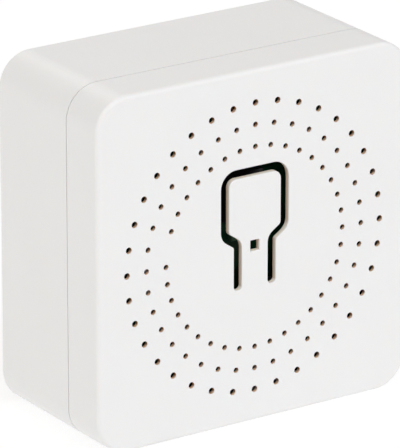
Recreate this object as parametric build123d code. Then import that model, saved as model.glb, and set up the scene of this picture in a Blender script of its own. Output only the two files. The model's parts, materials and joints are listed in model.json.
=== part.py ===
from build123d import *

import os
from math import cos, pi, radians, sin

# Smart switch module: a square case that stands on its lower edge, with a bulb-shaped key in its
# face, a relay, a mains supply and a wireless switch inside, and six wire terminals along the bottom.
#
# Millimetres. X runs to the right across the face, Y from the face to the back and Z up. The origin
# is under the middle of the case. Depths are counted back from the face, and the drawing of the face
# is counted from the face's centre.

# Case
face_size = 39.0
case_depth = 19.0
corner_radius = 3.7
front_edge_radius = 0.5
back_edge_radius = 0.3
cover_depth = 5.7
wall = 1.5
face_wall = 1.2
rear_wall = 1.5
seam_width = 0.14
seam_depth = 0.3
fit_gap = 0.1

# Vents in the face, as three rings of round holes
outer_vent_ring = 15.9
middle_vent_ring = 13.5
inner_vent_ring = 11.1
outer_vent_bore = 0.72
middle_vent_bore = 0.62
inner_vent_bore = 0.61
vents_per_ring = 36
missing_vent = 17
vent_wall = 0.45
vent_wall_margin = 0.8

# Key and the slot round it, drawn from the face's centre along the slot's middle line
slot_width = 1.0
leg_half_gap = 2.13
bulb_half_gap = 3.75
slot_foot = -4.41
neck_height = 0.67
shoulder_height = 1.75
slot_top = 8.42
neck_bend = 0.85
shoulder_bend = 1.1
crown_bend = 1.4
slot_end_radius = 0.45
key_plate = 0.62
key_pocket_radius = 10.2
key_edge_break = 0.1
window_width = 1.12
window_height = 1.2
window_centre = 0.2
plunger_height = 5.0
plunger_radius = 1.2
plunger_tip_break = 0.3
press_gap = 0.05

# Tongues that snap the cover into the rear shell
tab_thickness = 0.8
tab_width = 12.0
tab_root = 3.0
tab_reach = 2.7
barb_height = 0.35
barb_length = 0.7
barb_set_back = 0.2
tab_sides = (0, -90, 180)

# Main board and what holds it
front_room = 2.7
board_thickness = 1.2
board_gap = 0.3
board_corner = 2.0
post_inset = 2.0
cover_post_radius = 1.2
shell_post_radius = 1.5
locating_pin_radius = 0.6
locating_pin_tip = 0.2
lead_radius = 0.3
power_pin_radius = 0.4
lead_end = 0.7
hole_gap = 0.1
solder_spread = 0.55
solder_height = 0.5
solder_gap = 0.02

# Tact switch
switch_size = 5.1
switch_height = 2.0
stem_radius = 1.0
stem_stand_out = 0.5
stem_flange_radius = 1.5
stem_flange_thickness = 0.3
switch_frame_thickness = 0.15
switch_well_radius = 1.8
switch_floor = 0.4
dome_rise = 0.3
dome_thickness = 0.1
dome_radius = 1.7
running_gap = 0.05

# Parts on the board's front
led_width = 1.6
led_height = 0.8
led_thickness = 0.7
bridge_width = 4.7
bridge_height = 3.2
bridge_thickness = 1.5
converter_width = 4.9
converter_height = 3.9
converter_thickness = 1.5
opto_width = 3.6
opto_height = 3.8
opto_thickness = 1.9
transistor_width = 2.9
transistor_height = 1.4
transistor_thickness = 1.0
small_part_width = 1.6
small_part_height = 0.8
small_part_thickness = 0.5
small_part_step = 2.4
small_part_row = 1.6
part_gap = 0.6
shield_width = 8.4
shield_height = 8.0
shield_thickness = 1.6
shield_sheet = 0.2
shield_left = 4.6
shield_bottom = 1.6
chip_size = 5.0
chip_thickness = 0.9
chip_edge_gap = 0.6
crystal_width = 1.6
crystal_height = 2.0
crystal_thickness = 0.6
antenna_height = 6.0
antenna_gap = 0.4
antenna_line = 0.5
antenna_sheet = 0.1
antenna_folds = 5
antenna_edge_gap = 0.5

# Relay
relay_length = 20.4
relay_width = 15.8
relay_height = 10.4
relay_edge_gap = 0.9
relay_foot_gap = 1.1
relay_wall = 0.7
relay_base_thickness = 1.2
bobbin_flange = 7.8
bobbin_flange_thickness = 0.8
bobbin_barrel_radius = 1.9
winding_radius = 3.6
winding_gap = 0.1
core_radius = 1.4
coil_side_gap = 0.4
yoke_thickness = 1.2
yoke_width = 7.0
yoke_side_gap = 0.4
yoke_end_gap = 0.2
armature_thickness = 1.1
armature_width = 6.4
armature_swing = 4.0
armature_room = 1.8
pole_gap = 0.55
pivot_gap = 0.1
blade_thickness = 0.2
blade_width = 3.6
blade_rise = 1.3
blade_tail = 1.3
contact_radius = 1.3
contact_thickness = 0.5
contact_inset = 5.4
contact_plate_thickness = 0.5
contact_plate_width = 4.0
contact_plate_reach = 5.8
yoke_pin_inset = 9.4

# Supply parts on the board's back
bulk_can_radius = 4.0
bulk_can_room = 0.4
bulk_lead_pitch = 3.5
output_can_radius = 3.15
output_can_height = 7.0
output_lead_pitch = 2.5
can_edge = 0.4
can_groove = 0.25
drum_radius = 3.0
drum_flange_thickness = 1.0
drum_waist_radius = 1.4
drum_height = 8.0
drum_winding_radius = 2.7
drum_lead_pitch = 3.6
fuse_radius = 1.6
fuse_length = 6.5
fuse_lead_reach = 0.9
fuse_lift = 0.3
varistor_radius = 3.0
varistor_thickness = 3.2
varistor_lift = 0.6
varistor_lead_pitch = 4.0
supply_row_gap = 0.5
can_gap = 0.8

# Terminals
poles = 6
pole_pitch = 5.08
block_height = 7.6
block_floor = 0.6
block_front_wall = 0.9
chamber_top_wall = 0.8
chamber_half_width = 2.15
cage_height = 4.8
cage_front_wall = 0.8
cage_side_wall = 0.45
cage_back_wall = 0.9
cage_slack = 0.7
wire_gap = 3.0
wire_opening_width = 3.2
contact_bar_thickness = 0.8
contact_bar_half_width = 1.4
contact_leg_half_width = 1.0
leg_above_cage = 0.35
screw_radius = 1.5
screw_tip_gap = 0.1
screw_head_radius = 1.9
screw_head_height = 1.4
screw_head_sink = 0.3
screw_slot_width = 0.7
screw_slot_depth = 0.7
shoulder_wall = 0.8
driver_hole_radius = 1.8

# Places worked out from the sizes above
middle = face_size / 2
inner_half = face_size / 2 - wall
inner_back = case_depth - rear_wall
board_half = inner_half - fit_gap - tab_thickness - board_gap
board_front = face_wall + front_room
board_back = board_front + board_thickness
post_x = board_half - post_inset
post_places = [(side * post_x, middle + level * post_x) for side in (-1, 1) for level in (-1, 1)]
upper_posts = [place for place in post_places if place[1] > middle]
root_level = middle + slot_foot + slot_end_radius

block_bottom = wall + fit_gap
chamber_bottom = block_bottom + block_floor
block_top = block_bottom + block_height
block_back = inner_back - fit_gap
chamber_front = board_back + block_front_wall
chamber_top = block_top - chamber_top_wall
head_back = block_back - screw_head_sink
head_front = head_back - screw_head_height
chamber_back = head_front - shoulder_wall
cage_bottom = chamber_bottom + fit_gap
cage_top = cage_bottom + cage_height
cage_front = chamber_front + fit_gap
wire_front = cage_front + cage_front_wall
bar_front = wire_front + wire_gap
bar_back = bar_front + contact_bar_thickness
cage_back = bar_back + cage_slack + cage_back_wall
screw_level = (cage_bottom + cage_top) / 2
leg_bottom = cage_top + leg_above_cage
terminal_pin_level = leg_bottom + contact_bar_thickness / 2
pole_places = [(number - (poles - 1) / 2) * pole_pitch for number in range(poles)]

relay_left = relay_edge_gap - board_half
relay_right = relay_left + relay_length
relay_bottom = block_top + relay_foot_gap
relay_top = relay_bottom + relay_width
relay_back = board_back + relay_height
relay_floor = board_back + relay_base_thickness
coil_depth = relay_floor + bobbin_flange / 2
coil_level = relay_bottom + relay_wall + coil_side_gap + bobbin_flange / 2
yoke_left = relay_left + relay_wall + yoke_end_gap
yoke_bottom = coil_level + bobbin_flange / 2 + yoke_side_gap
yoke_top = yoke_bottom + yoke_thickness
armature_face = relay_right - relay_wall - armature_room
yoke_right = armature_face - pivot_gap
pole_face = armature_face - pole_gap
coil_left = yoke_left + yoke_thickness + fit_gap
coil_right = pole_face - fit_gap
blade_outside = armature_face + armature_thickness + blade_thickness
blade_level = yoke_top + blade_rise
contact_x = relay_left + contact_inset
contact_travel = (armature_face - contact_x + contact_radius) * sin(radians(armature_swing))
fixed_contact_level = blade_level + blade_thickness + contact_thickness + contact_travel + running_gap
plate_level = fixed_contact_level + contact_thickness
yoke_pin_x = relay_left + yoke_pin_inset
coil_pin_x = coil_left + bobbin_flange_thickness / 2
coil_pin_levels = [coil_level + side * (bobbin_flange / 2 - 2 * lead_radius) for side in (-1, 1)]

supply_x = (relay_right + board_half) / 2
bulk_level = block_top + relay_foot_gap + bulk_can_radius + lead_radius
output_level = bulk_level + bulk_can_radius + can_gap + output_can_radius
row_level = relay_top + supply_row_gap + max(drum_radius, varistor_thickness / 2, fuse_radius)
fuse_half = fuse_length / 2 + fuse_lead_reach + lead_radius
row_half = varistor_radius + fuse_half + drum_radius + supply_row_gap
varistor_x = varistor_radius - row_half
fuse_x = varistor_x + varistor_radius + supply_row_gap + fuse_half
drum_x = row_half - drum_radius

switch_level = middle + plunger_height
shield_x = shield_left - board_half
shield_level = relay_bottom + shield_bottom / 2


def y_at(depth):
    """Y of a point at a depth behind the face."""
    return depth - case_depth / 2


def block(x, depth, z):
    """Box between the low and high values of x, depth and height."""
    sizes = [high - low for low, high in (x, depth, z)]
    centre = [(low + high) / 2 for low, high in (x, depth, z)]
    return Pos(centre[0], y_at(centre[1]), centre[2]) * Box(*sizes)


def rod(x, z, depth, radius):
    """Round bar along Y between two depths."""
    low, high = depth
    return Pos(x, y_at((low + high) / 2), z) * Rot(90, 0, 0) * Cylinder(radius, high - low)


def bar(x, depth, z, radius):
    """Round bar along X between two values of x."""
    low, high = x
    return Pos((low + high) / 2, y_at(depth), z) * Rot(0, 90, 0) * Cylinder(radius, high - low)


def plate(sketch, depth):
    """Sketch of the face, x across and z up, made solid between two depths."""
    low, high = depth
    ground = Plane(origin=(0, y_at(high), 0), x_dir=(1, 0, 0), z_dir=(0, -1, 0))
    return extrude(ground * sketch, high - low)


def prism(points, z):
    """Outline of x and depth pairs made solid between two heights."""
    outline = Polyline(*[(x, y_at(depth)) for x, depth in points], close=True)
    return extrude(Pos(0, 0, z[0]) * make_face(outline), z[1] - z[0], dir=(0, 0, 1))


def turned(profile, x, z):
    """Profile of radius and depth pairs turned about a line along Y."""
    outline = Polyline(*[(radius, y_at(depth)) for radius, depth in profile], close=True)
    return Pos(x, 0, z) * revolve(make_face(outline), Axis.Y)


def around_face(shape, angle):
    """Shape turned about the case's middle line."""
    return Pos(0, 0, middle) * Rot(0, angle, 0) * Pos(0, 0, -middle) * shape


def case_block(depth, inset):
    """Rounded square block of the case's outline, drawn in by an inset."""
    side = face_size - 2 * inset
    outline = RectangleRounded(side, side, corner_radius - inset)
    return plate(Pos(0, middle) * outline, depth)


def slot_line():
    """Middle line of the slot, from one leg's end round the bulb to the other's."""
    right = [
        (leg_half_gap, slot_foot),
        (leg_half_gap, neck_height),
        (bulb_half_gap, shoulder_height),
        (bulb_half_gap, slot_top),
    ]
    left = [(-x, z) for x, z in right]
    bends = [neck_bend, shoulder_bend, crown_bend]
    return FilletPolyline(*left, *reversed(right), radius=bends + bends[::-1])


def slot_face():
    """Slot round the key, as a flat outline with softened ends."""
    strip = trace(slot_line(), slot_width)
    ends = strip.vertices().group_by(Axis.Y)[0]
    return Pos(0, middle) * fillet(ends, slot_end_radius)


def key_face():
    """Outline of the key inside the slot, cut straight across its root."""
    line = slot_line()
    inside = make_face([line, Line(line @ 1, line @ 0)]) - trace(line, slot_width)
    below = Pos(0, slot_foot) * Rectangle(2 * bulb_half_gap, 2 * slot_end_radius)
    window = Pos(0, window_centre) * Rectangle(window_width, window_height)
    return Pos(0, middle) * (inside - below), Pos(0, middle) * window


def vents():
    """Cutters for the three rings of vents; one place of the inner ring stays without a hole."""
    rings = (
        (outer_vent_ring, outer_vent_bore, None),
        (middle_vent_ring, middle_vent_bore, None),
        (inner_vent_ring, inner_vent_bore, missing_vent),
    )
    cutters = []
    for ring_radius, bore, missing in rings:
        for number in range(vents_per_ring):
            if number == missing:
                continue
            angle = 2 * pi * number / vents_per_ring
            x, z = ring_radius * cos(angle), middle + ring_radius * sin(angle)
            cutters.append(rod(x, z, (-fit_gap, face_wall + fit_gap), bore / 2))
    return cutters


def vent_recess():
    """Ring behind the vents where the face is thinner, so that their bores stay short."""
    outside = outer_vent_ring + outer_vent_bore / 2 + vent_wall_margin
    behind = (vent_wall, face_wall + fit_gap)
    return rod(0, middle, behind, outside) - rod(0, middle, behind, key_pocket_radius)


def slot_rim(cover):
    """Edges of the slot in the front face, without the line across the key's root."""
    face_centre = Vector(0, y_at(0), middle)
    front_edges = cover.faces().sort_by(Axis.Y)[0].edges()
    near = [edge for edge in front_edges if (edge.center() - face_centre).length < key_pocket_radius]
    return [edge for edge in near if abs(edge.center().Z - root_level) > key_edge_break]


def snap_tab():
    """Tongue on the cover's right wall, with a barb near its end."""
    tab_end = cover_depth + tab_reach
    level = (middle - tab_width / 2, middle + tab_width / 2)
    inside = inner_half - fit_gap - tab_thickness
    outside = inner_half - fit_gap
    root = block((inside, inner_half), (cover_depth - tab_root, cover_depth), level)
    tongue = block((inside, outside), (cover_depth - fit_gap, tab_end), level)
    barb_end = tab_end - barb_set_back
    barb_outline = [
        (outside - fit_gap, barb_end - barb_length),
        (outside, barb_end - barb_length),
        (outside + barb_height, barb_end - barb_length / 2),
        (outside, barb_end),
        (outside - fit_gap, barb_end),
    ]
    return root + tongue + prism(barb_outline, level)


def snap_recess():
    """Groove in the rear shell's right wall that takes the barb."""
    barb_end = cover_depth + tab_reach - barb_set_back
    level = (middle - tab_width / 2 - fit_gap, middle + tab_width / 2 + fit_gap)
    outline = [
        (inner_half - fit_gap, barb_end - barb_length - fit_gap),
        (inner_half, barb_end - barb_length - fit_gap),
        (inner_half + barb_height, barb_end - barb_length / 2 - fit_gap),
        (inner_half + barb_height, barb_end - barb_length / 2 + fit_gap),
        (inner_half, barb_end + fit_gap),
        (inner_half - fit_gap, barb_end + fit_gap),
    ]
    return prism(outline, level)


def front_cover():
    """Cover with the vented face, the slot, its snap tongues and the posts that hold the board."""
    cover = case_block((0, cover_depth), 0)
    cover = fillet(cover.faces().sort_by(Axis.Y)[0].edges(), front_edge_radius)
    cover -= case_block((face_wall, cover_depth + fit_gap), wall)
    cover -= rod(0, middle, (key_plate, face_wall + fit_gap), key_pocket_radius)
    cover -= vent_recess()
    key, _ = key_face()
    cover -= plate(slot_face() + key, (-fit_gap, key_plate + fit_gap))
    cover = fillet(slot_rim(cover), key_edge_break)
    cover -= vents()
    for x, z in post_places:
        cover += rod(x, z, (face_wall, board_front), cover_post_radius)
    for angle in tab_sides:
        cover += around_face(snap_tab(), angle)
    return cover


def bulb_key():
    """Key plate with its window and the plunger behind it."""
    outline, window = key_face()
    key = plate(outline - window, (0, key_plate))
    front_edges = key.faces().sort_by(Axis.Y)[0].edges()
    free_edges = [edge for edge in front_edges if edge.center().Z > root_level + key_edge_break]
    key = fillet(free_edges, key_edge_break)
    stem_top = board_front - switch_height
    plunger = rod(0, switch_level, (key_plate, stem_top - press_gap), plunger_radius)
    plunger = fillet(plunger.edges().sort_by(Axis.Y)[-1], plunger_tip_break)
    return key + plunger


def rear_shell():
    """Rear half of the case, with wire openings below and screwdriver holes behind."""
    shell = case_block((cover_depth, case_depth), 0)
    shell = fillet(shell.faces().sort_by(Axis.Y)[-1].edges(), back_edge_radius)
    rim = (cover_depth - fit_gap, cover_depth + seam_width)
    shell -= case_block(rim, -fit_gap) - case_block(rim, seam_depth)
    shell -= case_block((cover_depth - fit_gap, inner_back), wall)
    for x, z in upper_posts:
        shell += rod(x, z, (board_back, inner_back), shell_post_radius)
        shell += rod(x, z, (board_front + locating_pin_tip, board_back), locating_pin_radius)
    for angle in tab_sides:
        shell -= around_face(snap_recess(), angle)
    for x in pole_places:
        opening = (x - wire_opening_width / 2, x + wire_opening_width / 2)
        shell -= block(opening, (wire_front, bar_front), (-fit_gap, wall + fit_gap))
        shell -= rod(x, screw_level, (inner_back - fit_gap, case_depth + fit_gap), driver_hole_radius)
    return shell


def lead_places():
    """Each lead that passes through the board, as x, z and radius."""
    power = [(x, terminal_pin_level) for x in pole_places]
    power += [(yoke_pin_x, yoke_bottom + yoke_thickness / 2)]
    power += [(contact_x, plate_level + contact_plate_thickness / 2)]
    thin = [(coil_pin_x, level) for level in coil_pin_levels]
    thin += [(supply_x + side * bulk_lead_pitch / 2, bulk_level) for side in (-1, 1)]
    thin += [(supply_x + side * output_lead_pitch / 2, output_level) for side in (-1, 1)]
    thin += [(drum_x + side * drum_lead_pitch / 2, row_level) for side in (-1, 1)]
    thin += [(fuse_x + side * (fuse_length / 2 + fuse_lead_reach), row_level) for side in (-1, 1)]
    thin += [(varistor_x + side * varistor_lead_pitch / 2, row_level) for side in (-1, 1)]
    return [(x, z, power_pin_radius) for x, z in power] + [(x, z, lead_radius) for x, z in thin]


def main_board():
    """Board with a hole for each lead and each locating pin."""
    side = 2 * board_half
    board = plate(Pos(0, middle) * RectangleRounded(side, side, board_corner), (board_front, board_back))
    through = (board_front - fit_gap, board_back + fit_gap)
    holes = [rod(x, z, through, radius + hole_gap) for x, z, radius in lead_places()]
    holes += [rod(x, z, through, locating_pin_radius + hole_gap) for x, z in upper_posts]
    return board - holes


def solder_joints():
    """Cone of solder round each lead on the board's front."""
    cones = []
    for x, z, radius in lead_places():
        inner = radius + solder_gap
        top = board_front - solder_height
        cones.append(
            turned(
                [
                    (inner, board_front),
                    (radius + solder_spread, board_front),
                    (radius + solder_spread / 3, top),
                    (inner, top),
                ],
                x,
                z,
            )
        )
    return Compound(children=cones)


def switch_parts():
    """Tact switch under the key's plunger: base, metal frame, snap dome and stem."""
    half = switch_size / 2
    front = board_front - switch_height + stem_stand_out
    frame_back = front + switch_frame_thickness
    floor = board_front - switch_floor
    x, z = (-half, half), (switch_level - half, switch_level + half)
    base = block(x, (frame_back, board_front), z)
    base -= rod(0, switch_level, (frame_back - fit_gap, floor), switch_well_radius)
    frame = block(x, (front, frame_back), z)
    frame -= rod(0, switch_level, (front - fit_gap, frame_back + fit_gap), stem_radius + fit_gap)
    flange_front = frame_back + running_gap
    stem = rod(0, switch_level, (board_front - switch_height, flange_front), stem_radius)
    stem += rod(0, switch_level, (flange_front, flange_front + stem_flange_thickness), stem_flange_radius)
    sphere_radius = (dome_radius**2 + dome_rise**2) / (2 * dome_rise)
    centre_depth = floor - dome_rise + sphere_radius
    centre = Pos(0, y_at(centre_depth), switch_level)
    dome = centre * Sphere(sphere_radius) - centre * Sphere(sphere_radius - dome_thickness)
    half_room = 2 * dome_radius
    dome &= block((-half_room, half_room), (floor - half_room, floor), (z[0] - half_room, z[1] + half_room))
    return {"switch_base": base, "switch_frame": frame, "switch_dome": dome, "switch_stem": stem}


def front_chip(x, z, width, height, thickness):
    """Flat part on the board's front, centred at x and z."""
    across = (x - width / 2, x + width / 2)
    return block(across, (board_front - thickness, board_front), (z - height / 2, z + height / 2))


def wireless_parts():
    """Wireless chip and crystal under a shield can, and the antenna at the board's top edge."""
    right, top = shield_x + shield_width, shield_level + shield_height
    front = board_front - shield_thickness
    shield = block((shield_x, right), (front, board_front), (shield_level, top))
    shield -= block(
        (shield_x + shield_sheet, right - shield_sheet),
        (front + shield_sheet, board_front + fit_gap),
        (shield_level + shield_sheet, top - shield_sheet),
    )
    level = (shield_level + top) / 2
    chip_x = shield_x + chip_edge_gap + chip_size / 2
    crystal_x = right - chip_edge_gap - crystal_width / 2
    return {
        "shield_can": shield,
        "wireless_chip": front_chip(chip_x, level, chip_size, chip_size, chip_thickness),
        "crystal": front_chip(crystal_x, level, crystal_width, crystal_height, crystal_thickness),
        "antenna": antenna(),
    }


def antenna():
    """Copper line folded to and fro at the board's top edge, between the fuse resistor's leads."""
    top = middle + board_half - antenna_edge_gap - antenna_line / 2
    bottom = top - antenna_height
    solder_end = fuse_length / 2 + fuse_lead_reach - lead_radius - solder_spread
    half_width = solder_end - antenna_gap - antenna_line / 2
    step = 2 * half_width / antenna_folds
    points = []
    for number in range(antenna_folds + 1):
        x = fuse_x - half_width + number * step
        ends = (bottom, top) if number % 2 == 0 else (top, bottom)
        points += [(x, ends[0]), (x, ends[1])]
    return plate(trace(Polyline(*points), antenna_line), (board_front - antenna_sheet, board_front))


def small_parts():
    """Chip resistors and capacitors, in short rows between the larger parts."""
    left = shield_x + small_part_width / 2
    above_shield = shield_level + shield_height + small_part_height / 2 + part_gap
    above_pin = plate_level + contact_plate_thickness + small_part_row + part_gap
    above_output = output_level + lead_radius + solder_spread + part_gap + small_part_height / 2
    places = [
        (left + small_part_step * column, above_shield + small_part_row * row)
        for column in range(2)
        for row in range(2)
    ]
    places += [(contact_x + small_part_step * column, above_pin) for column in range(3)]
    places += [(supply_x, above_output + small_part_row * row) for row in range(2)]
    width, height = small_part_width, small_part_height
    return Compound(children=[front_chip(x, z, width, height, small_part_thickness) for x, z in places])


def chips():
    """Plain packages on the board's front, by name."""
    low = block_top + relay_foot_gap
    led_level = middle + window_centre
    bridge_level = low + bridge_height / 2
    converter_level = bulk_level + lead_radius + solder_spread + part_gap + converter_height / 2
    opto_level = low + opto_height / 2
    opto_x = relay_right + part_gap - opto_width / 2
    transistor_x = opto_x - (opto_width + transistor_width) / 2 - part_gap
    return {
        "status_led": front_chip(0, led_level, led_width, led_height, led_thickness),
        "bridge_rectifier": front_chip(
            supply_x, bridge_level, bridge_width, bridge_height, bridge_thickness
        ),
        "converter_chip": front_chip(
            supply_x, converter_level, converter_width, converter_height, converter_thickness
        ),
        "opto_coupler": front_chip(opto_x, opto_level, opto_width, opto_height, opto_thickness),
        "driver_transistor": front_chip(
            transistor_x, opto_level, transistor_width, transistor_height, transistor_thickness
        ),
        "chip_parts": small_parts(),
    }


def lead(x, z, start, radius):
    """Lead from a part's underside, at a depth, out through the board."""
    return rod(x, z, (board_front - lead_end, start), radius)


def relay_case():
    """Relay's base plate, pierced for the pins, and the cover over it."""
    left, right = relay_left + relay_wall, relay_right - relay_wall
    low, high = relay_bottom + relay_wall, relay_top - relay_wall
    cover = block((relay_left, relay_right), (board_back, relay_back), (relay_bottom, relay_top))
    cover -= block((left, right), (board_back - fit_gap, relay_back - relay_wall), (low, high))
    inside = (left + fit_gap, right - fit_gap)
    base = block(inside, (board_back, relay_floor), (low + fit_gap, high - fit_gap))
    for x, z, radius in lead_places():
        if inside[0] < x < inside[1] and low < z < high:
            base -= rod(x, z, (board_back - fit_gap, relay_floor + fit_gap), radius + hole_gap)
    return {"relay_base": base, "relay_cover": cover}


def relay_coil():
    """Bobbin with its winding, core and pins."""
    left_flange = (coil_left, coil_left + bobbin_flange_thickness)
    right_flange = (coil_right - bobbin_flange_thickness, coil_right)
    half = bobbin_flange / 2
    level = (coil_level - half, coil_level + half)
    bobbin = bar((coil_left, coil_right), coil_depth, coil_level, bobbin_barrel_radius)
    for flange in (left_flange, right_flange):
        bobbin += block(flange, (relay_floor, relay_floor + bobbin_flange), level)
    through = (coil_left - fit_gap, coil_right + fit_gap)
    bobbin -= bar(through, coil_depth, coil_level, core_radius + running_gap)
    winding_span = (left_flange[1] + winding_gap, right_flange[0] - winding_gap)
    winding = bar(winding_span, coil_depth, coil_level, winding_radius)
    winding -= bar(winding_span, coil_depth, coil_level, bobbin_barrel_radius + running_gap)
    core = bar((yoke_left + yoke_thickness, pole_face), coil_depth, coil_level, core_radius)
    pins = [lead(coil_pin_x, level, relay_floor, lead_radius) for level in coil_pin_levels]
    return {
        "relay_bobbin": bobbin,
        "relay_winding": winding,
        "relay_core": core,
        "coil_pins": Compound(children=pins),
    }


def relay_iron():
    """Bent yoke with its board pin, and the armature that tilts at the yoke's end."""
    width = (coil_depth - yoke_width / 2, coil_depth + yoke_width / 2)
    foot = coil_level - core_radius - yoke_thickness
    yoke = block((yoke_left, yoke_left + yoke_thickness), width, (foot, yoke_top))
    yoke += block((yoke_left, yoke_right), width, (yoke_bottom, yoke_top))
    yoke += lead(yoke_pin_x, yoke_bottom + yoke_thickness / 2, width[0] + fit_gap, power_pin_radius)
    armature_depth = (coil_depth - armature_width / 2, coil_depth + armature_width / 2)
    back = armature_face + armature_thickness
    armature = block((armature_face, back), armature_depth, (foot, yoke_top))
    return {"relay_yoke": yoke, "relay_armature": armature}


def relay_contacts():
    """Contact blade on the armature, its contact, and the fixed contact on its terminal."""
    back = armature_face + armature_thickness
    depth = (coil_depth - blade_width / 2, coil_depth + blade_width / 2)
    blade_top = blade_level + blade_thickness
    blade = block((back, blade_outside), depth, (coil_level, blade_top))
    blade += block((contact_x - blade_tail - contact_radius, blade_outside), depth, (blade_level, blade_top))
    button = Cylinder(contact_radius, contact_thickness)
    centre_y = y_at(coil_depth)
    moving = Pos(contact_x, centre_y, blade_top + contact_thickness / 2) * button
    fixed = Pos(contact_x, centre_y, fixed_contact_level + contact_thickness / 2) * button
    across = (contact_x - contact_plate_width / 2, contact_x + contact_plate_width / 2)
    plate_top = plate_level + contact_plate_thickness
    terminal = block(across, (relay_floor, relay_floor + contact_plate_reach), (plate_level, plate_top))
    terminal += lead(contact_x, (plate_level + plate_top) / 2, relay_floor + fit_gap, power_pin_radius)
    return {
        "contact_blade": blade,
        "moving_contact": moving,
        "fixed_contact": fixed,
        "contact_terminal": terminal,
    }


def can(x, z, radius, height, pitch):
    """Round capacitor with a rolled groove near its foot and two leads."""
    top = board_back + height
    groove = board_back + 3 * can_groove
    profile = [
        (0, board_back),
        (radius - can_edge, board_back),
        (radius, board_back + can_edge),
        (radius, groove + can_groove),
        (radius - can_groove, groove + 2 * can_groove),
        (radius, groove + 3 * can_groove),
        (radius, top - can_edge),
        (radius - can_edge, top),
        (0, top),
    ]
    body = turned(profile, x, z)
    for side in (-1, 1):
        body += lead(x + side * pitch / 2, z, board_back + fit_gap, lead_radius)
    return body


def drum():
    """Drum core with its winding, and a lead on each side of the core's foot."""
    top = board_back + drum_height
    low, high = board_back + drum_flange_thickness, top - drum_flange_thickness
    core = rod(drum_x, row_level, (board_back, top), drum_waist_radius)
    core += rod(drum_x, row_level, (board_back, low), drum_radius)
    core += rod(drum_x, row_level, (high, top), drum_radius)
    for side in (-1, 1):
        core += lead(drum_x + side * drum_lead_pitch / 2, row_level, board_back + fit_gap, lead_radius)
    span = (low + running_gap, high - running_gap)
    winding = rod(drum_x, row_level, span, drum_winding_radius)
    winding -= rod(drum_x, row_level, span, drum_waist_radius + running_gap)
    return {"inductor_core": core, "inductor_winding": winding}


def fuse_resistor():
    """Round resistor lying on the board, with a bent lead at each end."""
    depth = board_back + fuse_lift + fuse_radius
    end = fuse_length / 2 + fuse_lead_reach
    body = bar((fuse_x - fuse_length / 2, fuse_x + fuse_length / 2), depth, row_level, fuse_radius)
    body = fillet(body.edges().filter_by(GeomType.CIRCLE), fuse_lift)
    body += bar((fuse_x - end, fuse_x + end), depth, row_level, lead_radius)
    for side in (-1, 1):
        body += lead(fuse_x + side * end, row_level, depth, lead_radius)
        body += Pos(fuse_x + side * end, y_at(depth), row_level) * Sphere(lead_radius)
    return body


def varistor():
    """Coated disc standing on two leads."""
    depth = board_back + varistor_lift + varistor_radius
    disc = Pos(varistor_x, y_at(depth), row_level) * Cylinder(varistor_radius, varistor_thickness)
    disc = fillet(disc.edges().filter_by(GeomType.CIRCLE), varistor_lift)
    for side in (-1, 1):
        x = varistor_x + side * varistor_lead_pitch / 2
        disc += lead(x, row_level, depth, lead_radius)
    return disc


def terminal_block():
    """Housing of the six terminals, a chamber for each wire clamp and a well for each screw head."""
    half = poles * pole_pitch / 2
    housing = block((-half, half), (board_back, block_back), (block_bottom, block_top))
    for x in pole_places:
        chamber = (x - chamber_half_width, x + chamber_half_width)
        opening = (x - wire_opening_width / 2, x + wire_opening_width / 2)
        housing -= block(chamber, (chamber_front, chamber_back), (chamber_bottom, chamber_top))
        housing -= block(opening, (wire_front, bar_front), (block_bottom - fit_gap, chamber_bottom + fit_gap))
        pin_hole = power_pin_radius + hole_gap
        housing -= rod(x, terminal_pin_level, (board_back - fit_gap, chamber_front + fit_gap), pin_hole)
        housing -= rod(x, screw_level, (chamber_back - fit_gap, block_back + fit_gap), screw_radius + fit_gap)
        housing -= rod(x, screw_level, (head_front, block_back + fit_gap), screw_head_radius + fit_gap)
    return housing


def contact_bar(x):
    """Bar that the wire is clamped against, bent over the clamp to a pin in the board."""
    leg_top = leg_bottom + contact_bar_thickness
    upright = (x - contact_bar_half_width, x + contact_bar_half_width)
    leg = (x - contact_leg_half_width, x + contact_leg_half_width)
    piece = block(upright, (bar_front, bar_back), (chamber_bottom, leg_top))
    piece += block(leg, (cage_front, bar_back), (leg_bottom, leg_top))
    return piece + lead(x, terminal_pin_level, cage_front + fit_gap, power_pin_radius)


def clamp(x):
    """Square ring round the contact bar, with a screw hole in its back wall."""
    half = chamber_half_width - fit_gap
    inside = half - cage_side_wall
    level = (cage_bottom, cage_top)
    ring = block((x - half, x + half), (cage_front, cage_back), level)
    ring -= block(
        (x - inside, x + inside),
        (wire_front, cage_back - cage_back_wall),
        (cage_bottom - fit_gap, cage_top + fit_gap),
    )
    through = (cage_back - cage_back_wall - fit_gap, cage_back + fit_gap)
    return ring - rod(x, screw_level, through, screw_radius + running_gap)


def screw(x):
    """Slotted clamp screw; its head turns in the block and its end stops short of the bar."""
    piece = rod(x, screw_level, (bar_back + screw_tip_gap, head_front), screw_radius)
    piece += rod(x, screw_level, (head_front, head_back), screw_head_radius)
    slot = (screw_level - screw_slot_width / 2, screw_level + screw_slot_width / 2)
    across = (x - 2 * screw_head_radius, x + 2 * screw_head_radius)
    return piece - block(across, (head_back - screw_slot_depth, head_back + fit_gap), slot)


def terminal_parts():
    """Terminal housing with its contact bars, clamps and screws."""
    parts = {
        "terminal_block": terminal_block(),
        "terminal_contacts": Compound(children=[contact_bar(x) for x in pole_places]),
    }
    for number, x in enumerate(pole_places, start=1):
        parts[f"wire_clamp_{number}"] = clamp(x)
        parts[f"clamp_screw_{number}"] = screw(x)
    return parts


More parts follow.
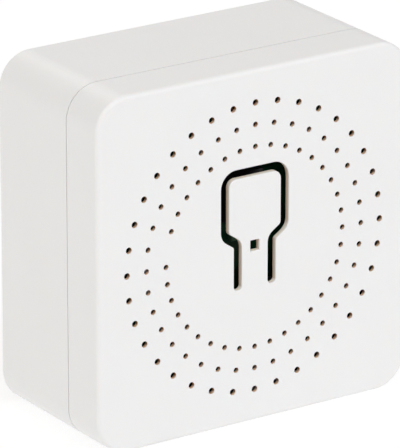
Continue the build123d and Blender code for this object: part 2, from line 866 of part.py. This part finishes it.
def supply_parts():
    """Capacitors, inductor, fuse resistor and varistor of the mains supply."""
    bulk_height = inner_back - board_back - bulk_can_room
    parts = {
        "bulk_capacitor": can(supply_x, bulk_level, bulk_can_radius, bulk_height, bulk_lead_pitch),
        "output_capacitor": can(
            supply_x, output_level, output_can_radius, output_can_height, output_lead_pitch
        ),
        "fuse_resistor": fuse_resistor(),
        "varistor": varistor(),
    }
    parts.update(drum())
    return parts


def all_parts():
    """Every piece of the module by name."""
    parts = {
        "front_cover": front_cover(),
        "bulb_key": bulb_key(),
        "rear_shell": rear_shell(),
        "main_board": main_board(),
        "solder_joints": solder_joints(),
    }
    groups = (
        switch_parts,
        wireless_parts,
        chips,
        relay_case,
        relay_coil,
        relay_iron,
        relay_contacts,
        supply_parts,
        terminal_parts,
    )
    for group in groups:
        parts.update(group())
    return parts


os.makedirs("parts", exist_ok=True)
for name, shape in all_parts().items():
    export_step(shape, f"parts/{name}.step")
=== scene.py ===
import json
import math

import bpy
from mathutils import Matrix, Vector


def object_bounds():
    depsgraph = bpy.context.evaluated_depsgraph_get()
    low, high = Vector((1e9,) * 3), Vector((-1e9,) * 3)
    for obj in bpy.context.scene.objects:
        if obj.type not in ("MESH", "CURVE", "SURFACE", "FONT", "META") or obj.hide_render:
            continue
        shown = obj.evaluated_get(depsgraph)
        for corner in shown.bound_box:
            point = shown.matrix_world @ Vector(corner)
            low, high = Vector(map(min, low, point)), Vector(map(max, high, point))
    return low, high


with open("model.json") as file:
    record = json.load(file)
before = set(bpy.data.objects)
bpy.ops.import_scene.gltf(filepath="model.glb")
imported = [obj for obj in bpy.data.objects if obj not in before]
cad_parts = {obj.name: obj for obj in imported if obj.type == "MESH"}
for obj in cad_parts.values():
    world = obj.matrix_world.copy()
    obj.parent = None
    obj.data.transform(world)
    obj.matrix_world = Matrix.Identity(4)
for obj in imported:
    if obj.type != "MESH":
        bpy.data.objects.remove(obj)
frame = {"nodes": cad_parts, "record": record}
cad_low, cad_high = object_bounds()

MM = 0.001

# Camera, at the photograph's place and angle
PICTURE_HEIGHT_PX = 448
SENSOR_MM = 36.0
FOCAL_PX = 5300.0
CAMERA_AZIMUTH = math.radians(33.6)
CAMERA_ELEVATION = math.radians(19.89)
CAMERA_DISTANCE = 547.8 * MM
CLIP_START = 10 * MM
AIM_ACROSS = -6.9 * MM
AIM_ABOVE_CENTRE = 3.94 * MM

# Light: each lamp's direction from the module, its power and its colour
WORLD_STRENGTH = 0.371
WORLD_COLOUR = (1.032, 0.998, 0.971)
COOL = (0.963, 0.992, 1.045)
NEUTRAL = (1.0, 1.0, 1.0)
WARM = (1.045, 1.012, 0.94)
LAMP_DISTANCE = 3.0
LAMP_SIZE = 1.5
LAMPS = {
    "front_top": (Vector((0.0, -0.6, 0.8)), 22.1, COOL),
    "right_top": (Vector((0.6, -0.55, 0.6)), 15.4, COOL),
    "left_top": (Vector((-0.45, -0.45, 0.78)), 18.9, NEUTRAL),
    "high_left": (Vector((-0.8, 0.1, 0.6)), 11.4, WARM),
    "back_top": (Vector((0.25, 0.7, 0.7)), 9.4, WARM),
}

# Floor
FLOOR_SIZE = 12.0
FLOOR_GAP = 0.02 * MM
FLOOR_GLOW = 0.715
FLOOR_DARK = (0.29, 0.29, 0.29)
FLOOR_LIGHT = (0.31, 0.31, 0.31)
FLOOR_FLECK = 30 * MM
FLOOR_ROUGHNESS = 0.7

# Depths behind the face between which the walls carry painted shade and painted light in warm colours
PAINTED_SHADING_START = 0.05 * MM
PAINTED_SHADING_END = 1.3 * MM
PAINTED_SHADING_FADE = 0.2 * MM

# Distances from the face's centre between which the slot and the vents lie
SLOT_REACH = 10.3 * MM
VENT_REACH = 17.2 * MM
SLOT_ZONE = (-PAINTED_SHADING_FADE, SLOT_REACH)
VENT_ZONE = (SLOT_REACH, VENT_REACH)

# Upward share of a wall's normal, where the painted shading starts and where it is full
UPWARD = (0.2, 0.8)
SIDEWAYS = (0.8, 0.2)

# Painted shading of the walls: each entry's zone, the depth where it is full, the walls that take it
# and its colour; sideways walls get warm painted shade, upward walls lighter warm painted light
PAINTED_WALL_SHADING = (
    (SLOT_ZONE, 0.5 * MM, SIDEWAYS, (0.8, 0.62, 0.46)),
    (SLOT_ZONE, 0.3 * MM, UPWARD, (0.98, 0.9, 0.76)),
    (VENT_ZONE, 0.15 * MM, SIDEWAYS, (0.36, 0.17, 0.07)),
    (VENT_ZONE, 0.15 * MM, UPWARD, (0.85, 0.58, 0.36)),
)

# Range that most of a noise texture's values lie in
NOISE_LOW = 0.3
NOISE_HIGH = 0.7

# Colour sockets of a mix node
MIX_FIRST = 6
MIX_SECOND = 7
MIX_RESULT = 2


class Nodes:
    """Short way to lay out a material's nodes."""

    def __init__(self, name):
        self.material = bpy.data.materials.new(name)
        self.material.use_nodes = True
        self.tree = self.material.node_tree
        self.shader = self.tree.nodes["Principled BSDF"]
        coordinates = self.tree.nodes.new("ShaderNodeTexCoord")
        self.place = coordinates.outputs["Object"]
        self.normal = coordinates.outputs["Normal"]

    def add(self, kind, **values):
        """New node with the given settings."""
        node = self.tree.nodes.new(kind)
        for key, value in values.items():
            setattr(node, key, value)
        return node

    def join(self, source, target):
        """Link from one socket to another."""
        self.tree.links.new(source, target)

    def mapped(self, **values):
        """Place on the piece, turned or stretched."""
        node = self.add("ShaderNodeMapping")
        for key, value in values.items():
            node.inputs[key].default_value = value
        self.join(self.place, node.inputs["Vector"])
        return node.outputs["Vector"]

    def noise(self, size, detail=2.0, place=None):
        """Noise whose grains are about the given size in metres."""
        node = self.add("ShaderNodeTexNoise")
        node.inputs["Scale"].default_value = 1.0 / size
        node.inputs["Detail"].default_value = detail
        self.join(place or self.place, node.inputs["Vector"])
        return node.outputs["Fac"]

    def spread(self, value, low, high, from_low=NOISE_LOW, from_high=NOISE_HIGH):
        """Value mapped to a range."""
        node = self.add("ShaderNodeMapRange")
        node.inputs["From Min"].default_value = from_low
        node.inputs["From Max"].default_value = from_high
        node.inputs["To Min"].default_value = low
        node.inputs["To Max"].default_value = high
        self.join(value, node.inputs["Value"])
        return node.outputs["Result"]

    def ramp(self, value, start, full):
        """Share that grows from none to all between two values."""
        return self.spread(value, 0.0, 1.0, start, full)

    def blend(self, factor, first, second):
        """Colour between two others; each is a colour or a socket."""
        node = self.add("ShaderNodeMix", data_type="RGBA")
        self.join(factor, node.inputs["Factor"])
        for socket, colour in ((node.inputs[MIX_FIRST], first), (node.inputs[MIX_SECOND], second)):
            if isinstance(colour, tuple):
                socket.default_value = (*colour, 1.0)
            else:
                self.join(colour, socket)
        return node.outputs[MIX_RESULT]

    def both(self, first, second):
        """Product of two values."""
        node = self.add("ShaderNodeMath", operation="MULTIPLY")
        self.join(first, node.inputs[0])
        self.join(second, node.inputs[1])
        return node.outputs["Value"]

    def bump(self, height, distance, normal=None):
        """Normal of a surface raised by a height, over another normal if one is given."""
        node = self.add("ShaderNodeBump")
        node.inputs["Distance"].default_value = distance
        self.join(height, node.inputs["Height"])
        if normal is not None:
            self.join(normal, node.inputs["Normal"])
        return node.outputs["Normal"]

    def set(self, **values):
        """Gives the shader's sockets their values, colours or links."""
        for key, value in values.items():
            socket = self.shader.inputs[key.replace("_", " ")]
            if isinstance(value, bpy.types.NodeSocket):
                self.join(value, socket)
            elif socket.type == "RGBA":
                socket.default_value = (*value, 1.0)
            else:
                socket.default_value = value


def face_centre():
    """Middle of the front face."""
    return Vector((0, cad_low[1], (cad_low[2] + cad_high[2]) / 2))


def tint(colour, factor):
    """Colour made lighter or darker."""
    return tuple(min(channel * factor, 1.0) for channel in colour)


def paint_wall_shading(n, colour):
    """Colour with painted shading laid over the walls of the slot and the vents: warm painted shade on
    sideways walls, lighter warm painted light on upward walls.
    """
    face = cad_low[1]
    place = n.add("ShaderNodeSeparateXYZ")
    n.join(n.place, place.inputs["Vector"])
    depth = place.outputs["Y"]
    on_face = n.add("ShaderNodeCombineXYZ")
    n.join(place.outputs["X"], on_face.inputs["X"])
    n.join(place.outputs["Z"], on_face.inputs["Z"])
    from_centre = n.add("ShaderNodeVectorMath", operation="DISTANCE")
    from_centre.inputs[1].default_value = (0, 0, face_centre().z)
    n.join(on_face.outputs["Vector"], from_centre.inputs[0])
    reach = from_centre.outputs["Value"]
    normal = n.add("ShaderNodeSeparateXYZ")
    n.join(n.normal, normal.inputs["Vector"])
    upward = normal.outputs["Z"]
    before_inside = n.ramp(depth, face + PAINTED_SHADING_END + PAINTED_SHADING_FADE, face + PAINTED_SHADING_END)
    # Painted shade on sideways walls and painted light on upward walls, set by depth, distance from
    # the centre and facing
    for (nearest, farthest), full_depth, walls, tone in PAINTED_WALL_SHADING:
        masks = (
            before_inside,
            n.ramp(reach, nearest, nearest + PAINTED_SHADING_FADE),
            n.ramp(reach, farthest + PAINTED_SHADING_FADE, farthest),
            n.ramp(upward, *walls),
        )
        share = n.ramp(depth, face + PAINTED_SHADING_START, face + full_depth)
        for mask in masks:
            share = n.both(share, mask)
        colour = n.blend(share, colour, tone)
    return colour


def case_plastic():
    """White moulded plastic with a fine spark-eroded grain and a faint cloudiness."""
    n = Nodes("case_plastic")
    white = (0.845, 0.842, 0.835)
    cloud = n.noise(9 * MM, detail=3.0)
    grain = n.noise(0.11 * MM)
    ripple = n.noise(2.4 * MM, detail=1.0)
    n.set(
        # The walls of the slot and the vents get painted shade on sideways walls and painted light on
        # upward walls, in warm colours
        Base_Color=paint_wall_shading(n, n.blend(cloud, tint(white, 0.985), tint(white, 1.012))),
        Roughness=n.spread(grain, 0.34, 0.46),
        Normal=n.bump(ripple, 0.004 * MM, normal=n.bump(grain, 0.0022 * MM)),
        IOR=1.49,
        Subsurface_Weight=0.12,
        Subsurface_Radius=(1.0, 0.62, 0.42),
        Subsurface_Scale=0.5 * MM,
    )
    return n.material


def moulded(name, colour, roughness, grain_depth=0.003 * MM):
    """Moulded plastic, ceramic or resin with a fine grain and an uneven tone."""
    n = Nodes(name)
    grain = n.noise(0.12 * MM)
    cloud = n.noise(1.8 * MM, detail=3.0)
    gloss_spread = 0.06
    n.set(
        Base_Color=n.blend(cloud, tint(colour, 0.88), tint(colour, 1.12)),
        Roughness=n.spread(grain, roughness - gloss_spread, roughness + gloss_spread),
        Normal=n.bump(grain, grain_depth),
    )
    return n.material


def metal(name, colour, roughness, stretch=(1.0, 1.0, 1.0)):
    """Metal with drawn or rolled marks and a little dulling in patches."""
    n = Nodes(name)
    marks = n.noise(0.08 * MM, detail=4.0, place=n.mapped(Scale=stretch))
    patches = n.noise(1.1 * MM, detail=3.0)
    n.set(
        Base_Color=n.blend(patches, tint(colour, 0.75), colour),
        Metallic=1.0,
        Roughness=n.spread(marks, roughness - 0.06, roughness + 0.12),
        Normal=n.bump(marks, 0.0015 * MM),
    )
    return n.material


def board_laminate():
    """Dark green solder mask over areas of copper, with glass cloth faintly under it."""
    n = Nodes("board_laminate")
    mask = (0.0022, 0.022, 0.009)
    areas = n.add("ShaderNodeTexVoronoi", voronoi_dimensions="2D", distance="CHEBYCHEV")
    areas.inputs["Scale"].default_value = 1.0 / (2.4 * MM)
    n.join(n.mapped(Rotation=(math.radians(90), 0, 0)), areas.inputs["Vector"])
    copper = n.ramp(areas.outputs["Color"], 0.44, 0.46)
    weave = n.noise(0.18 * MM)
    n.set(
        Base_Color=n.blend(copper, tint(mask, 1.4), tint(mask, 2.4)),
        Roughness=n.spread(weave, 0.28, 0.42),
        Normal=n.bump(copper, 0.03 * MM, normal=n.bump(weave, 0.004 * MM)),
        Specular_IOR_Level=0.12,
        Coat_Weight=0.05,
        Coat_Roughness=0.25,
    )
    return n.material


def wound_copper(name, axis):
    """Enamelled wire, seen as fine bands across the coil's axis."""
    n = Nodes(name)
    bands = n.add("ShaderNodeTexWave", wave_type="BANDS", bands_direction=axis)
    bands.inputs["Scale"].default_value = 1.0 / (0.5 * MM)
    bands.inputs["Distortion"].default_value = 0.4
    n.join(n.place, bands.inputs["Vector"])
    patches = n.noise(0.7 * MM)
    n.set(
        Base_Color=n.blend(patches, (0.45, 0.16, 0.06), (0.72, 0.3, 0.14)),
        Metallic=0.9,
        Roughness=n.spread(patches, 0.22, 0.36),
        Normal=n.bump(bands.outputs["Fac"], 0.05 * MM),
    )
    return n.material


# Material of each slot
MATERIALS = {
    "case": case_plastic,
    "board": board_laminate,
    "copper": lambda: wound_copper("wound_copper", "X"),
    "solder": lambda: metal("solder_tin", (0.72, 0.72, 0.74), 0.26),
    "steel": lambda: metal("zinc_steel", (0.66, 0.66, 0.67), 0.3, stretch=(0.25, 1.0, 1.0)),
    "brass": lambda: metal("stamped_brass", (0.8, 0.6, 0.28), 0.28, stretch=(1.0, 1.0, 0.3)),
    "silver": lambda: metal("silver_alloy", (0.86, 0.86, 0.84), 0.22),
    "black_plastic": lambda: moulded("black_moulding", (0.014, 0.014, 0.015), 0.5),
    "relay_plastic": lambda: moulded("relay_moulding", (0.03, 0.03, 0.034), 0.4),
    "terminal_plastic": lambda: moulded("terminal_moulding", (0.62, 0.62, 0.6), 0.42),
    "led_resin": lambda: moulded("led_resin", (0.1, 0.19, 0.12), 0.2),
    "ceramic": lambda: moulded("fired_ceramic", (0.42, 0.33, 0.24), 0.5),
    "sleeve": lambda: moulded("shrunk_sleeve", (0.02, 0.028, 0.06), 0.3),
    "ferrite": lambda: moulded("sintered_ferrite", (0.045, 0.045, 0.05), 0.62, grain_depth=0.012 * MM),
    "resistor_coat": lambda: moulded("flameproof_coat", (0.12, 0.2, 0.17), 0.55),
    "varistor_coat": lambda: moulded("epoxy_coat", (0.03, 0.07, 0.22), 0.36),
}

# Pieces whose material differs from that of their slot
OWN_FINISH = {
    # The switch frame's metal is made near-black, far darker than the zinc steel of its slot
    "switch_frame": lambda: metal("near_black_switch_metal", (0.06, 0.06, 0.064), 0.36),
    "inductor_winding": lambda: wound_copper("drum_copper", "Y"),
}


def dress_nodes():
    """Gives every carried-over piece the material of its slot, or its own finish."""
    made = {slot: build() for slot, build in MATERIALS.items()}
    own = {node: build() for node, build in OWN_FINISH.items()}
    for part in frame["record"]["subparts"]:
        node = frame["nodes"][part["node"]]
        node.data.materials.clear()
        node.data.materials.append(own.get(part["node"], made[part["material_slot"]]))


def build_floor():
    """Pale, lit floor under the module."""
    level = cad_low[2] - FLOOR_GAP
    bpy.ops.mesh.primitive_plane_add(size=FLOOR_SIZE, location=(0, 0, level))
    floor = bpy.context.object
    floor.name = "floor"
    n = Nodes("pale_floor")
    n.set(
        Base_Color=n.blend(n.noise(FLOOR_FLECK), FLOOR_DARK, FLOOR_LIGHT),
        Roughness=FLOOR_ROUGHNESS,
        Emission_Color=(1.0, 1.0, 1.0),
        Emission_Strength=FLOOR_GLOW,
    )
    floor.data.materials.append(n.material)


def build_light():
    """Even, slightly warm surroundings and large soft lamps."""
    world = bpy.data.worlds.new("studio")
    bpy.context.scene.world = world
    world.use_nodes = True
    background = world.node_tree.nodes["Background"]
    background.inputs["Color"].default_value = (*WORLD_COLOUR, 1.0)
    background.inputs["Strength"].default_value = WORLD_STRENGTH
    centre = Vector((0, 0, face_centre().z))
    for name, (direction, power, colour) in LAMPS.items():
        lamp = bpy.data.lights.new(name, "AREA")
        lamp.size = LAMP_SIZE
        lamp.energy = power
        lamp.color = colour
        light = bpy.data.objects.new(name, lamp)
        bpy.context.scene.collection.objects.link(light)
        away = direction.normalized()
        light.location = centre + away * LAMP_DISTANCE
        light.rotation_euler = away.to_track_quat("Z", "Y").to_euler()


def build_camera():
    """Long lens from the left and above, as in the photograph."""
    data = bpy.data.cameras.new("camera")
    data.sensor_width = SENSOR_MM
    data.lens = FOCAL_PX / PICTURE_HEIGHT_PX * SENSOR_MM
    data.clip_start = CLIP_START
    camera = bpy.data.objects.new("camera", data)
    bpy.context.scene.collection.objects.link(camera)
    aim = face_centre() + Vector((AIM_ACROSS, 0, AIM_ABOVE_CENTRE))
    away = Vector(
        (
            -math.sin(CAMERA_AZIMUTH) * math.cos(CAMERA_ELEVATION),
            -math.cos(CAMERA_AZIMUTH) * math.cos(CAMERA_ELEVATION),
            math.sin(CAMERA_ELEVATION),
        )
    )
    camera.location = aim + away * CAMERA_DISTANCE
    camera.rotation_euler = away.to_track_quat("Z", "Y").to_euler()
    bpy.context.scene.camera = camera


bpy.context.scene.view_settings.view_transform = "Standard"
dress_nodes()
build_floor()
build_light()
build_camera()
